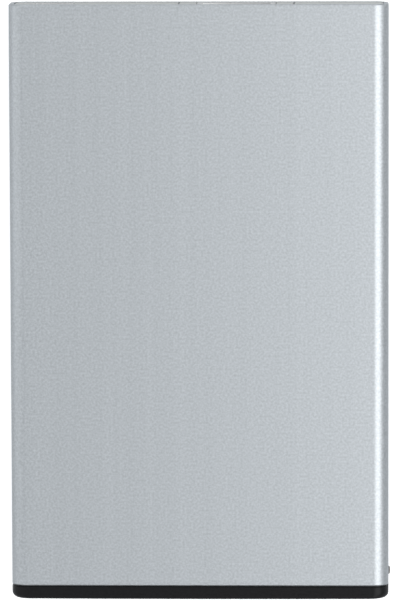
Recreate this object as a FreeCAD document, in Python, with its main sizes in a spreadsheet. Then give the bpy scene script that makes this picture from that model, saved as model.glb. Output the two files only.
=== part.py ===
"""A slim power bank: an extruded aluminium sleeve closed by a port fascia at one end and a black cap at
the other. A moulded tray slides inside it and carries a pouch cell, the main board with its USB sockets
and a small gauge board with a push switch and four charge lights behind the right-hand wall.

Millimetres. The bank lies on its back face: +X to its right, +Y towards the ports, +Z up through its
thickness. The origin is the centre of the back face."""

import FreeCAD
import Part

import math
import os
import re

import Sketcher

SIZES = {
    # the case
    "case_length": (110.5, "overall length, black cap included"),
    "case_width": (70.0, "overall width"),
    "case_height": (9.2, "overall thickness"),
    "corner_radius": (2.75, "outer radius of the sleeve's long edges"),
    "wall": (0.9, "wall of the sleeve"),
    "rim_chamfer": (0.2, "chamfer round both rims of the sleeve"),
    # the black cap
    "cap_lip": (2.5, "length of cap that shows below the sleeve"),
    "cap_corner": (1.5, "radius of the cap's two corners, seen from the front"),
    "skirt_depth": (4.5, "how far the cap's skirt reaches into the sleeve"),
    "skirt_wall": (0.9, "wall of the skirt"),
    "skirt_gap": (0.1, "clearance between the skirt and the sleeve"),
    # the fascia
    "fascia_back": (0.6, "rear layer of the fascia"),
    "fascia_front": (0.8, "front layer of the fascia"),
    "fascia_inset": (0.1, "fascia's face below the sleeve's rim"),
    "fascia_gap": (0.15, "gap between the fascia and the sleeve"),
    "surround_width": (21.5, "width of the insert round the USB-A socket"),
    "surround_gap": (0.25, "gap at each side of that insert"),
    "prong_length": (3.6, "length of the fascia's snap prongs"),
    "prong_thick": (0.8, "thickness of a prong"),
    "prong_height": (1.2, "height of a prong"),
    "prong_hook": (0.6, "reach of the hook at a prong's end"),
    "hook_length": (0.9, "length of that hook"),
    "hook_gap": (0.15, "clearance round a hook in its window"),
    # the USB-A socket
    "usb_offset": (6.9, "centre of the USB-A socket, right of the middle"),
    "usb_width": (13.2, "outer width of the steel shell"),
    "usb_height": (5.7, "outer height of the steel shell"),
    "usb_depth": (11.0, "depth of the steel shell"),
    "usb_sheet": (0.3, "sheet the shell is bent from"),
    "flange_width": (14.5, "width of the flared mouth"),
    "flange_height": (6.2, "height of the flared mouth"),
    "mouth_gap": (0.15, "clearance round a socket's mouth"),
    "tongue_width": (11.1, "width of the contact tongue"),
    "tongue_thick": (1.84, "thickness of the contact tongue"),
    "tongue_above": (0.7, "space between the tongue and the shell's roof"),
    "tongue_inset": (0.9, "tongue's tip behind the mouth"),
    "tongue_root": (2.2, "block that closes the back of a shell"),
    "contact_width": (1.0, "width of a USB-A contact"),
    "contact_thick": (0.2, "thickness of a socket's contacts"),
    "contact_pitch": (2.33, "spacing of the USB-A contacts"),
    "tail_length": (1.4, "contact tail soldered to the board"),
    "ear_reach": (1.4, "soldering ears, out from a shell's sides"),
    "ear_length": (2.4, "length of a soldering ear"),
    # the micro-USB socket
    "micro_offset": (26.6, "centre of the micro-USB socket, left of the middle"),
    "micro_width": (7.0, "outer width of its shell"),
    "micro_height": (2.9, "outer height of its shell"),
    "micro_depth": (5.4, "depth of its shell"),
    "micro_corner": (0.8, "cut-off lower corners that key the plug"),
    "micro_tongue": (0.65, "thickness of its tongue"),
    "micro_tongue_width": (3.9, "width of its tongue"),
    "micro_pitch": (0.65, "spacing of its contacts"),
    # the tray
    "tray_gap": (0.2, "clearance between the tray and the sleeve's sides"),
    "tray_wall": (1.0, "walls of the tray"),
    "tray_floor": (0.5, "floor of the tray"),
    "tape_thick": (0.1, "adhesive tapes and insulating films"),
    "rib_thick": (0.6, "rib beside the cell"),
    "post_radius": (1.7, "posts under the main board"),
    "post_left": (15.0, "left post from the middle"),
    "post_right": (19.5, "right post from the middle"),
    "boss_size": (4.0, "square screw bosses behind the cap"),
    # the cell
    "cell_width": (57.0, "width of the pouch cell"),
    "cell_length": (81.0, "length of the pouch cell's body"),
    "cell_height": (6.0, "thickness of the pouch cell"),
    "cell_edge": (1.2, "rounding of the pouch"),
    "cell_gap": (0.3, "clearance round the cell"),
    "terrace_length": (3.0, "sealed edge that the tabs leave"),
    "terrace_thick": (0.6, "thickness of that edge"),
    "tab_width": (4.0, "width of a cell tab"),
    "tab_thick": (0.12, "thickness of a cell tab"),
    "tab_spread": (7.0, "each tab from the middle of the cell"),
    "guard_width": (21.0, "width of the protection board"),
    "guard_thick": (0.5, "thickness of the protection board"),
    "guard_chip": (2.8, "width of a chip on the protection board"),
    "guard_pitch": (4.4, "spacing of those chips"),
    "guard_tape": (16.8, "width of the tape over those chips"),
    "tab_overlap": (2.5, "length of tab welded to the board"),
    # the main board
    "board_length": (14.0, "main board, along the case"),
    "board_thick": (1.0, "thickness of the main board"),
    "board_gap": (0.4, "clearance round the main board"),
    # what the main board carries; rows are counted from its lower edge
    "row_front": (3.5, "front row of capacitors"),
    "row_middle": (4.7, "row of resistors at the left"),
    "row_back": (7.4, "row of the inductor and the chips"),
    "row_last": (10.4, "row of resistors at the right"),
    "coil_place": (6.0, "inductor, left of the middle"),
    "coil_side": (6.2, "side of the inductor"),
    "coil_high": (3.0, "height of the inductor"),
    "coil_corner": (0.9, "bevel on the inductor's corners"),
    "charger_place": (17.0, "charge chip, left of the middle"),
    "charger_side": (4.0, "side of the charge chip"),
    "charger_high": (0.9, "height of the chips"),
    "transistor_place": (17.8, "first power transistor, right of the middle"),
    "transistor_side": (3.2, "side of a power transistor"),
    "transistor_pitch": (4.4, "spacing of the power transistors"),
    "can_place": (24.7, "first polymer capacitor, right of the middle"),
    "can_pitch": (4.2, "spacing of the polymer capacitors"),
    "can_length": (3.5, "length of a polymer capacitor"),
    "can_width": (2.8, "width of a polymer capacitor"),
    "can_high": (1.9, "height of a polymer capacitor"),
    "bead_place": (11.8, "first ceramic capacitor, left of the middle"),
    "bead_pitch": (2.3, "spacing of the ceramic capacitors"),
    "bead_length": (1.6, "length of a ceramic capacitor"),
    "bead_width": (0.8, "width and height of a ceramic capacitor"),
    "grain_pitch": (1.3, "spacing of the resistors"),
    "grain_width": (0.5, "width of a resistor"),
    "grain_length": (1.0, "length of a resistor"),
    "grain_high": (0.35, "height of a resistor"),
    # the gauge board behind the right-hand wall
    "gauge_length": (22.0, "length of the gauge board"),
    "gauge_height": (5.2, "height of the gauge board"),
    "gauge_thick": (0.8, "thickness of the gauge board"),
    "gauge_depth": (3.6, "gauge board's outer face behind the case's side"),
    "gauge_start": (0.4, "gauge board's lower end above the sleeve's rim"),
    "slot_gap": (0.2, "clearance of the gauge board's slot in the tray"),
    "switch_size": (3.0, "switch body along the case and through it"),
    "switch_depth": (1.5, "switch body, out from the board"),
    "cover_thick": (0.1, "steel cover over the switch"),
    "plunger_radius": (0.6, "radius of the switch's plunger"),
    "plunger_proud": (0.35, "plunger out of the switch at rest"),
    "plunger_length": (1.1, "length of the plunger"),
    "plunger_gap": (0.08, "clearance round the plunger"),
    "dome_thick": (0.1, "steel snap dome in the switch"),
    "light_first": (8.6, "first charge light above the sleeve's lower rim"),
    "light_pitch": (3.0, "spacing of the charge lights"),
    "light_count": (4, "number of charge lights"),
    "led_size": (1.2, "side of a charge light's package"),
    "led_thick": (0.5, "thickness of that package"),
    "guide_gap": (0.15, "clearance of the light guide's bar"),
    "guide_thick": (1.0, "thickness of the light guide's bar"),
    "guide_height": (1.6, "height of the light guide's bar"),
    "pin_radius": (0.45, "radius of a light pin"),
    "pin_gap": (0.06, "clearance round a light pin"),
    "pin_inset": (0.05, "light pin's face below the case's side"),
    # the power button
    "button_rise": (2.36, "button above the sleeve's lower rim"),
    "button_radius": (0.75, "radius of the button"),
    "button_gap": (0.08, "clearance round the button"),
    "button_proud": (0.28, "button out of the case's side at rest"),
    "button_travel": (0.22, "stroke of the button"),
    "button_edge": (0.18, "rounding of the button's face"),
    "flange_radius": (1.25, "retaining flange of the button"),
    "flange_thick": (0.35, "thickness of that flange"),
    "flange_clear": (0.05, "flange behind the sleeve's wall at rest"),
    # screws and wires
    "cap_screw_place": (25.0, "cap screws, each side of the middle"),
    "cap_screw_length": (6.0, "length of a cap screw"),
    "screw_radius": (0.8, "thread radius of a cap screw"),
    "head_radius": (1.5, "head radius of a cap screw"),
    "head_depth": (0.9, "depth of a cap screw's cone"),
    "socket_radius": (0.45, "driver socket in a screw's head"),
    "socket_depth": (0.4, "depth of that socket"),
    "board_screw_radius": (0.6, "thread radius of a board screw"),
    "board_screw_length": (2.2, "length of a board screw under its head"),
    "board_head_radius": (1.2, "head radius of a board screw"),
    "board_head_height": (0.7, "head height of a board screw"),
    "screw_gap": (0.05, "clearance between a screw and its hole"),
    "wire_radius": (0.3, "radius of a gauge wire"),
    "wire_pitch": (0.75, "spacing of the gauge wires"),
    "wire_bend": (1.0, "bend radius of the gauge wires"),
    "wire_overlap": (1.8, "length of wire on the main board"),
}

# Places that several pieces share, as expressions of the sizes.
RIM = "(case_length / 2)"
END = "(-case_length / 2)"
LOW_RIM = "(cap_lip - case_length / 2)"
MID = "(case_height / 2)"
SIDE = "(case_width / 2)"
BORE_X = "(case_width / 2 - wall)"
ROOF = "(case_height - wall)"
FACE_Y = "(case_length / 2 - fascia_inset)"
STEP_Y = f"({FACE_Y} - fascia_front)"
REAR_Y = f"({STEP_Y} - fascia_back)"
TRAY_X = f"({BORE_X} - tray_gap)"
TRAY_IN = f"({TRAY_X} - tray_wall)"
TRAY_BASE = "(wall + tape_thick)"
FLOOR = f"({TRAY_BASE} + tray_floor)"
TRAY_TOP = "(case_height - corner_radius)"
TRAY_LOW = f"({LOW_RIM} + skirt_depth + cell_gap)"
CONTACT_Z = f"({MID} + usb_height / 2 - usb_sheet - tongue_above - tongue_thick - contact_thick)"
BOARD_UNDER = f"({CONTACT_Z} - board_thick)"
BOARD_HIGH = f"({REAR_Y} - board_gap)"
BOARD_LOW = f"({BOARD_HIGH} - board_length)"
BOARD_X = f"({TRAY_IN} - board_gap)"
POST_Y = f"({BOARD_LOW} + 2 * post_radius)"
CELL_LEFT = f"(-{TRAY_IN} + cell_gap)"
CELL_RIGHT = f"({CELL_LEFT} + cell_width)"
CELL_LOW = f"({TRAY_LOW} + tray_wall + cell_gap)"
CELL_HIGH = f"({CELL_LOW} + cell_length)"
CELL_BASE = f"({FLOOR} + tape_thick)"
CELL_TOP = f"({CELL_BASE} + cell_height)"
CELL_MID = f"({CELL_LEFT} + cell_width / 2)"
TERRACE_BASE = f"({CONTACT_Z} - terrace_thick / 2)"
TERRACE_TOP = f"({CONTACT_Z} + terrace_thick / 2)"
TERRACE_HIGH = f"({CELL_HIGH} + terrace_length)"
GAUGE_OUT = f"({SIDE} - gauge_depth)"
GAUGE_IN = f"({GAUGE_OUT} - gauge_thick)"
GAUGE_LOW = f"({LOW_RIM} + gauge_start)"
GAUGE_HIGH = f"({GAUGE_LOW} + gauge_length)"
BUTTON_Y = f"({LOW_RIM} + button_rise)"
LIGHT_Y = f"({LOW_RIM} + light_first)"
LIGHT_END = f"({LIGHT_Y} + (light_count - 1) * light_pitch)"
GUIDE_X = f"({GAUGE_OUT} + led_thick + guide_gap)"
SWITCH_FACE = f"({GAUGE_OUT} + switch_depth)"
PLUNGER_END = f"({SWITCH_FACE} + plunger_proud)"
FLANGE_X = f"({BORE_X} - flange_clear - flange_thick)"
SKIRT_X = f"({BORE_X} - skirt_gap)"
WELL_X = f"({SKIRT_X} - skirt_wall)"
USB_BACK = f"({FACE_Y} - usb_depth)"
MICRO_BACK = f"({FACE_Y} - micro_depth)"
MICRO_X = "(-micro_offset)"

doc = FreeCAD.newDocument("power_bank")
sheet = doc.addObject("Spreadsheet::Sheet", "sizes")
nodes = []


def fill_sheet():
    for line, (alias, (number, note)) in enumerate(SIZES.items(), start=1):
        sheet.set(f"A{line}", str(number))
        sheet.setAlias(f"A{line}", alias)
        sheet.set(f"B{line}", note)
    doc.recompute()


def bound(text):
    """The expression with each size read from the sheet."""
    return re.sub(r"[a-z][a-z_]+", lambda word: f"sizes.{word[0]}" if word[0] in SIZES else word[0], text)


def value(text):
    """The number that an expression of the sizes gives."""
    return float(sheet.evalExpression(bound(text)))


def bind(thing, **places):
    """Binds properties to expressions; x, y and z stand for the placement's base."""
    for name, text in places.items():
        path = f".Placement.Base.{name}" if name in ("x", "y", "z") else name
        thing.setExpression(path, bound(text))


def node(thing, name):
    """Makes thing a finished sub-part with that name."""
    thing.Label = name
    nodes.append(thing)
    return thing


# ---- primitives


def box(name, x, y, z):
    """A box between the two ends given for each axis."""
    made = doc.addObject("Part::Box", name)
    for ends, length, axis in ((x, "Length", "x"), (y, "Width", "y"), (z, "Height", "z")):
        bind(made, **{length: f"{ends[1]} - ({ends[0]})", axis: ends[0]})
    return made


def about(middle, span):
    """The two ends of a span centred on a place."""
    return f"({middle} - {span} / 2)", f"({middle} + {span} / 2)"


def rod(name, radius, length, at, along="z", far=None):
    """A cylinder, or a cone if its far radius is given, from a point along an axis."""
    made = doc.addObject("Part::Cone" if far else "Part::Cylinder", name)
    if far:
        bind(made, Radius1=radius, Radius2=far, Height=length)
    else:
        bind(made, Radius=radius, Height=length)
    turn = {
        "z": FreeCAD.Rotation(),
        "x": FreeCAD.Rotation(FreeCAD.Vector(0, 1, 0), 90),
        "y": FreeCAD.Rotation(FreeCAD.Vector(1, 0, 0), -90),
    }
    made.Placement = FreeCAD.Placement(FreeCAD.Vector(), turn[along])
    bind(made, x=at[0], y=at[1], z=at[2])
    return made


def joined(name, *pieces):
    made = doc.addObject("Part::MultiFuse", name)
    made.Shapes = list(pieces)
    return made


def minus(name, base, *tools):
    made = doc.addObject("Part::Cut", name)
    made.Base = base
    made.Tool = tools[0] if len(tools) == 1 else joined(name + "_tools", *tools)
    return made


def group(name, *pieces):
    """Separate like pieces that share one node."""
    made = doc.addObject("Part::Compound", name)
    made.Links = list(pieces)
    return made


def eased(name, kind, base, radius, wanted):
    """Rounds ("Fillet") or bevels ("Chamfer") the edges that wanted picks."""
    doc.recompute()
    made = doc.addObject("Part::" + kind, name)
    made.Base = base
    amount = value(radius)
    made.Edges = [(n, amount, amount) for n, e in enumerate(base.Shape.Edges, start=1) if wanted(e)]
    return made


def along(axis):
    """Picks straight edges along an axis."""

    def wanted(edge):
        if edge.Curve.TypeId != "Part::GeomLine":
            return False
        return abs(abs(getattr(edge.Curve.Direction, axis)) - 1) < 1e-6

    return wanted


def at_place(axis, place):
    """Picks edges that lie wholly where axis has that place."""

    def wanted(edge):
        bounds = edge.BoundBox
        return all(abs(getattr(bounds, axis + end) - place) < 1e-4 for end in ("Min", "Max"))

    return wanted


# ---- bodies with sketches


def sketch(body, name, role, offset="0"):
    """A sketch on one of the body's origin planes, moved along the plane's normal."""
    made = body.newObject("Sketcher::SketchObject", name)
    plane = next(feature for feature in body.Origin.OriginFeatures if feature.Role == role)
    made.AttachmentSupport = (plane, [""])
    made.MapMode = "FlatFace"
    made.setExpression(".AttachmentOffset.Base.z", bound(offset))
    return made


def constrain(made, kind, geometry, point, text):
    """Adds one dimension to a sketch and binds it to its expression."""
    place = (geometry, point) if point else (geometry,)
    count = made.addConstraint(Sketcher.Constraint(kind, *place, value(text)))
    name = f"size_{count}"
    made.renameConstraint(count, name)
    made.setExpression(f"Constraints.{name}", bound(text))


def outline(made, points):
    """A closed outline of straight lines through (x, y) expressions."""
    first = made.GeometryCount
    count = len(points)
    ring = [FreeCAD.Vector(value(x), value(y), 0) for x, y in points]
    for n in range(count):
        made.addGeometry(Part.LineSegment(ring[n], ring[(n + 1) % count]))
    for n in range(count):
        made.addConstraint(Sketcher.Constraint("Coincident", first + n, 2, first + (n + 1) % count, 1))
    for n, (x, y) in enumerate(points):
        constrain(made, "DistanceX", first + n, 1, x)
        constrain(made, "DistanceY", first + n, 1, y)


def rectangle(made, x, y):
    outline(made, [(x[0], y[0]), (x[1], y[0]), (x[1], y[1]), (x[0], y[1])])


def pad(body, profile, length, reverse=False):
    made = body.newObject("PartDesign::Pad", profile.Name + "_pad")
    made.Profile = profile
    made.Reversed = reverse
    bind(made, Length=length)
    doc.recompute()
    return made


def dress(body, kind, radius, wanted):
    """A PartDesign Fillet or Chamfer on the edges of the tip that wanted picks."""
    tip = body.Tip
    made = body.newObject("PartDesign::" + kind, f"{body.Name}_{kind.lower()}_{len(body.Group)}")
    made.Base = (tip, [f"Edge{n}" for n, e in enumerate(tip.Shape.Edges, start=1) if wanted(e)])
    bind(made, **{"Radius" if kind == "Fillet" else "Size": radius})
    doc.recompute()
    return made


# ---- the case


def slab(name, half_x, y, z, radius):
    """A box whose four long edges are rounded, along Y."""
    plain = box(name + "_block", (f"-{half_x}", half_x), y, z)
    return eased(name, "Fillet", plain, radius, along("y"))


def make_sleeve():
    """Extruded tube, round along its four long edges, with holes for the button and the light pins."""
    body = doc.addObject("PartDesign::Body", "sleeve")
    outer = sketch(body, "sleeve_outer", "XZ_Plane", f"-{LOW_RIM}")
    rectangle(outer, (f"-{SIDE}", SIDE), ("0", "case_height"))
    pad(body, outer, f"{RIM} - {LOW_RIM}", reverse=True)
    dress(body, "Fillet", "corner_radius", along("y"))
    rims = (at_place("Y", value(RIM)), at_place("Y", value(LOW_RIM)))
    dress(body, "Chamfer", "rim_chamfer", lambda edge: rims[0](edge) or rims[1](edge))
    through = (f"{LOW_RIM} - wall", f"{RIM} + wall")
    bore = slab("sleeve_bore", BORE_X, through, ("wall", ROOF), "corner_radius - wall")
    start = f"{SIDE} - 2 * wall"
    drills = [rod("button_drill", "button_radius + button_gap", "3 * wall", (start, BUTTON_Y, MID), "x")]
    for n in range(int(value("light_count"))):
        place = (start, f"{LIGHT_Y} + {n} * light_pitch", MID)
        drills.append(rod(f"light_drill_{n}", "pin_radius + pin_gap", "3 * wall", place, "x"))
    node(minus("drilled_sleeve", body, bore, *drills), "aluminium_sleeve")


def make_end_cap():
    """Black cap: a lip that carries on the sleeve's section, and a skirt inside the sleeve."""
    section = slab("lip_section", SIDE, (END, LOW_RIM), ("0", "case_height"), "corner_radius")
    plan = box("lip_plan", (f"-{SIDE}", SIDE), (END, RIM), ("0", "case_height"))
    low = at_place("Y", value(END))
    front = eased("lip_front", "Fillet", plan, "cap_corner", lambda edge: along("z")(edge) and low(edge))
    lip = doc.addObject("Part::MultiCommon", "lip")
    lip.Shapes = [section, front]
    skirt = slab(
        "skirt",
        SKIRT_X,
        (LOW_RIM, f"{LOW_RIM} + skirt_depth"),
        ("wall + skirt_gap", f"{ROOF} - skirt_gap"),
        "corner_radius - wall - skirt_gap",
    )
    well = box(
        "cap_well",
        (f"-{WELL_X}", WELL_X),
        (LOW_RIM, f"{LOW_RIM} + 2 * skirt_depth"),
        ("wall + skirt_gap + skirt_wall", f"{ROOF} - skirt_gap - skirt_wall"),
    )
    notch = box(
        "cap_notch",
        (f"{WELL_X} - skirt_wall", SIDE),
        (f"{LOW_RIM} + tape_thick", f"{LOW_RIM} + 2 * skirt_depth"),
        about(MID, "(2 * flange_radius + 4 * button_gap)"),
    )
    board_slot = box(
        "cap_board_slot",
        (f"{GAUGE_IN} - slot_gap", f"{GAUGE_OUT} + slot_gap"),
        (LOW_RIM, f"{LOW_RIM} + 2 * skirt_depth"),
        about(MID, "(gauge_height + 2 * skirt_gap)"),
    )
    cuts = [well, notch, board_slot]
    for side, word in (("-", "left"), ("", "right")):
        place = (f"{side}cap_screw_place", END, MID)
        cuts.append(rod(f"cap_hole_{word}", "screw_radius + screw_gap", "2 * cap_lip", place, "y"))
        seat = rod(
            f"cap_seat_{word}",
            "head_radius + screw_gap",
            "head_depth",
            place,
            "y",
            far="screw_radius + screw_gap",
        )
        cuts.append(seat)
    node(minus("cap", joined("cap_solid", lip, skirt), *cuts), "end_cap")


def make_cap_screws():
    """Two countersunk screws through the cap into the tray's bosses."""
    screws = []
    for side, word in (("-", "left"), ("", "right")):
        place = (f"{side}cap_screw_place", END, MID)
        head = rod(f"screw_head_{word}", "head_radius", "head_depth", place, "y", far="screw_radius")
        shank = rod(f"screw_shank_{word}", "screw_radius", "cap_screw_length", place, "y")
        socket = rod(f"screw_socket_{word}", "socket_radius", "socket_depth", place, "y")
        screws.append(minus(f"cap_screw_{word}", joined(f"screw_solid_{word}", head, shank), socket))
    node(group("cap_screw_pair", *screws), "cap_screws")


# ---- the fascia


def fascia_slab(name, y):
    """The fascia's outline, clear of the sleeve all round, over a length."""
    return slab(
        name,
        f"({BORE_X} - fascia_gap)",
        y,
        ("wall + fascia_gap", f"{ROOF} - fascia_gap"),
        "corner_radius - wall - fascia_gap",
    )


def micro_outline(name, grow, y):
    """The micro-USB socket's section, grown by a margin on every side, over a length."""
    plain = box(
        name + "_block",
        about(MICRO_X, f"(micro_width + 2 * ({grow}))"),
        y,
        about(MID, f"(micro_height + 2 * ({grow}))"),
    )
    low = at_place("Z", value(f"{MID} - micro_height / 2 - ({grow})"))
    return eased(name, "Chamfer", plain, "micro_corner", lambda edge: along("y")(edge) and low(edge))


def make_fascia():
    """Plate that closes the port end: a rear layer, a front layer parted by the recess, two prongs."""
    plate = fascia_slab("fascia_solid", (REAR_Y, FACE_Y))
    recess = box(
        "fascia_recess",
        about("usb_offset", "surround_width"),
        (STEP_Y, f"{FACE_Y} + wall"),
        ("0", "case_height"),
    )
    window = box(
        "fascia_window",
        about("usb_offset", "(usb_width + 2 * mouth_gap)"),
        (f"{REAR_Y} - wall", FACE_Y),
        about(MID, "(usb_height + 2 * mouth_gap)"),
    )
    micro = micro_outline("fascia_micro", "mouth_gap", (f"{REAR_Y} - wall", f"{FACE_Y} + wall"))
    prongs = []
    for side, word in (("-1", "left"), ("1", "right")):
        prongs += make_prong(side, word)
    whole = joined("fascia_with_prongs", plate, *prongs)
    node(minus("fascia", whole, recess, window, micro), "fascia_plate")


def make_prong(side, word):
    """A straight prong behind the fascia, and the hook at its end."""
    inner, outer = f"{TRAY_IN} - hook_gap - prong_thick", f"{TRAY_IN} - hook_gap"
    height = (f"{CONTACT_Z} + board_gap", f"{CONTACT_Z} + board_gap + prong_height")
    tip = f"{REAR_Y} - prong_length"
    ends = (f"-({outer})", f"-({inner})") if side == "-1" else (inner, outer)
    reach = f"{outer} + prong_hook"
    hook_ends = (f"-({reach})", f"-({inner})") if side == "-1" else (inner, reach)
    return [
        box(f"prong_{word}", ends, (tip, REAR_Y), height),
        box(f"hook_{word}", hook_ends, (tip, f"{tip} + hook_length"), height),
    ]


def make_surround():
    """Insert in the fascia's recess, round the USB-A socket's flared mouth."""
    plate = fascia_slab("surround_solid", (STEP_Y, FACE_Y))
    sides = []
    for word, ends in (
        ("left", (f"-{SIDE}", "usb_offset - surround_width / 2 + surround_gap")),
        ("right", ("usb_offset + surround_width / 2 - surround_gap", SIDE)),
    ):
        sides.append(box(f"surround_{word}", ends, (END, f"{RIM} + wall"), ("0", "case_height")))
    mouth = box(
        "surround_mouth",
        about("usb_offset", "(flange_width + 2 * mouth_gap)"),
        (REAR_Y, f"{RIM} + wall"),
        about(MID, "(flange_height + 2 * mouth_gap)"),
    )
    node(minus("surround", plate, *sides, mouth), "port_surround")


# ---- the sockets


def ears(name, middle, width, back):
    """Two soldering ears that lie on the main board, one each side of a shell."""
    made = []
    for word, ends in (
        ("left", (f"{middle} - {width} / 2 - ear_reach", f"{middle} - {width} / 2 + usb_sheet")),
        ("right", (f"{middle} + {width} / 2 - usb_sheet", f"{middle} + {width} / 2 + ear_reach")),
    ):
        place = (f"{back} + ear_length / 2", f"{back} + 1.5 * ear_length")
        made.append(box(f"{name}_ear_{word}", ends, place, (CONTACT_Z, f"{CONTACT_Z} + usb_sheet")))
    return made


def make_usb_a():
    """USB-A socket: steel shell with a flared mouth, contact tongue and four contacts."""
    wide = about("usb_offset", "usb_width")
    tall = about(MID, "usb_height")
    shell = box("usb_body", wide, (USB_BACK, FACE_Y), tall)
    flare = box(
        "usb_flare",
        about("usb_offset", "flange_width"),
        (f"{FACE_Y} - usb_sheet", FACE_Y),
        about(MID, "flange_height"),
    )
    inside = box(
        "usb_inside",
        about("usb_offset", "(usb_width - 2 * usb_sheet)"),
        (f"{USB_BACK} - wall", f"{FACE_Y} + wall"),
        about(MID, "(usb_height - 2 * usb_sheet)"),
    )
    shell_ears = ears("usb", "usb_offset", "usb_width", USB_BACK)
    node(minus("usb_shell", joined("usb_solid", shell, flare, *shell_ears), inside), "usb_a_shell")

    root = box(
        "usb_root",
        about("usb_offset", "(usb_width - 2 * usb_sheet)"),
        (USB_BACK, f"{USB_BACK} + tongue_root"),
        about(MID, "(usb_height - 2 * usb_sheet)"),
    )
    tongue = box(
        "usb_tongue_bar",
        about("usb_offset", "tongue_width"),
        (USB_BACK, f"{FACE_Y} - tongue_inset"),
        (f"{CONTACT_Z} + contact_thick", f"{CONTACT_Z} + contact_thick + tongue_thick"),
    )
    strips = []
    slots = []
    for n in range(4):
        middle = f"(usb_offset + ({n} - 1.5) * contact_pitch)"
        span = about(middle, "contact_width")
        height = (CONTACT_Z, f"{CONTACT_Z} + contact_thick")
        reach = (f"{USB_BACK} - tail_length", f"{FACE_Y} - 2 * tongue_inset")
        strips.append(box(f"usb_contact_{n}", span, reach, height))
        slots.append(box(f"usb_slot_{n}", span, (f"{USB_BACK} - wall", FACE_Y), height))
    node(minus("usb_insulator", joined("usb_insulator_solid", root, tongue), *slots), "usb_a_tongue")
    node(group("usb_contacts", *strips), "usb_a_contacts")


def make_micro_usb():
    """Micro-USB socket: keyed steel shell, tongue and five contacts."""
    shell = micro_outline("micro_body", "0", (MICRO_BACK, FACE_Y))
    inside = micro_outline("micro_inside", "-usb_sheet", (f"{MICRO_BACK} - wall", f"{FACE_Y} + wall"))
    shell_ears = ears("micro", MICRO_X, "micro_width", MICRO_BACK)
    node(minus("micro_shell", joined("micro_solid", shell, *shell_ears), inside), "micro_usb_shell")

    root = micro_outline("micro_root", "-usb_sheet", (MICRO_BACK, f"{MICRO_BACK} + tongue_root / 2"))
    tongue = box(
        "micro_tongue_bar",
        about(MICRO_X, "micro_tongue_width"),
        (MICRO_BACK, f"{FACE_Y} - tongue_inset"),
        (f"{CONTACT_Z} + contact_thick", f"{CONTACT_Z} + contact_thick + micro_tongue"),
    )
    strips = []
    slots = []
    for n in range(5):
        span = about(f"({MICRO_X} + ({n} - 2) * micro_pitch)", "(micro_pitch / 2)")
        height = (CONTACT_Z, f"{CONTACT_Z} + contact_thick")
        reach = (f"{MICRO_BACK} - tail_length", f"{FACE_Y} - 2 * tongue_inset")
        strips.append(box(f"micro_contact_{n}", span, reach, height))
        slots.append(box(f"micro_slot_{n}", span, (f"{MICRO_BACK} - wall", FACE_Y), height))
    node(minus("micro_insulator", joined("micro_insulator_solid", root, tongue), *slots), "micro_usb_tongue")
    node(group("micro_contacts", *strips), "micro_usb_contacts")


# ---- the tray and what it carries


def make_tray():
    """Moulded tray: floor, side walls, a rib beside the cell, board posts and screw bosses."""
    block = slab("tray_block", TRAY_X, (TRAY_LOW, REAR_Y), (TRAY_BASE, ROOF), "corner_radius - wall")
    hollow = box(
        "tray_hollow",
        (f"-{TRAY_IN}", TRAY_IN),
        (f"{TRAY_LOW} + tray_wall", f"{REAR_Y} + tray_wall"),
        (FLOOR, "case_height"),
    )
    top = box("tray_top_cut", (f"-{SIDE}", SIDE), (END, RIM), (TRAY_TOP, "case_height"))
    shell = minus("tray_shell", block, hollow, top)
    rib = box(
        "tray_rib",
        (f"{CELL_RIGHT} + cell_gap", f"{CELL_RIGHT} + cell_gap + rib_thick"),
        (TRAY_LOW, CELL_HIGH),
        (TRAY_BASE, TRAY_TOP),
    )
    gained = [shell, rib]
    cuts = []
    for word, x in (("left", "-post_left"), ("right", "post_right")):
        height = f"{BOARD_UNDER} - {TRAY_BASE}"
        gained.append(rod(f"post_{word}", "post_radius", height, (x, POST_Y, TRAY_BASE)))
        bore = "board_screw_radius + screw_gap"
        foot = (x, POST_Y, f"{CONTACT_Z} - board_screw_length - screw_gap")
        cuts.append(rod(f"post_bore_{word}", bore, "board_screw_length", foot))
    for side, word in (("-", "left"), ("", "right")):
        x = f"({side}cap_screw_place)"
        boss_y = (f"{LOW_RIM} + tape_thick", f"{TRAY_LOW} + tray_wall")
        gained.append(box(f"boss_{word}", about(x, "boss_size"), boss_y, about(MID, "boss_size")))
        length = "cap_screw_length + tape_thick"
        cuts.append(rod(f"boss_bore_{word}", "screw_radius + screw_gap", length, (x, END, MID), "y"))
    cuts.append(
        box(
            "tray_gauge_slot",
            (f"{GAUGE_IN} - slot_gap", f"{GAUGE_OUT} + slot_gap"),
            (END, f"{TRAY_LOW} + 2 * tray_wall"),
            (f"{MID} - gauge_height / 2", "case_height"),
        )
    )
    cuts.append(
        box(
            "tray_light_slot",
            (f"{GAUGE_OUT}", SIDE),
            (f"{LIGHT_Y} - light_pitch / 2", f"{LIGHT_END} + light_pitch / 2"),
            about(MID, "(guide_height + 2 * slot_gap)"),
        )
    )
    tip = f"{REAR_Y} - prong_length"
    cuts.append(
        box(
            "tray_hook_windows",
            (f"-{SIDE}", SIDE),
            (f"{tip} - hook_gap", f"{tip} + hook_length + hook_gap"),
            (f"{CONTACT_Z} + board_gap - hook_gap", f"{CONTACT_Z} + board_gap + prong_height + hook_gap"),
        )
    )
    outer, inner = TRAY_IN, f"({BOARD_X} - board_gap)"
    for side, ledge_x in (("left", (f"-{outer}", f"-{inner}")), ("right", (inner, outer))):
        gained.append(box(f"ledge_{side}", ledge_x, (BOARD_LOW, BOARD_HIGH), (FLOOR, BOARD_UNDER)))
    node(minus("tray", joined("tray_solid", *gained), *cuts), "carrier_tray")


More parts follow.
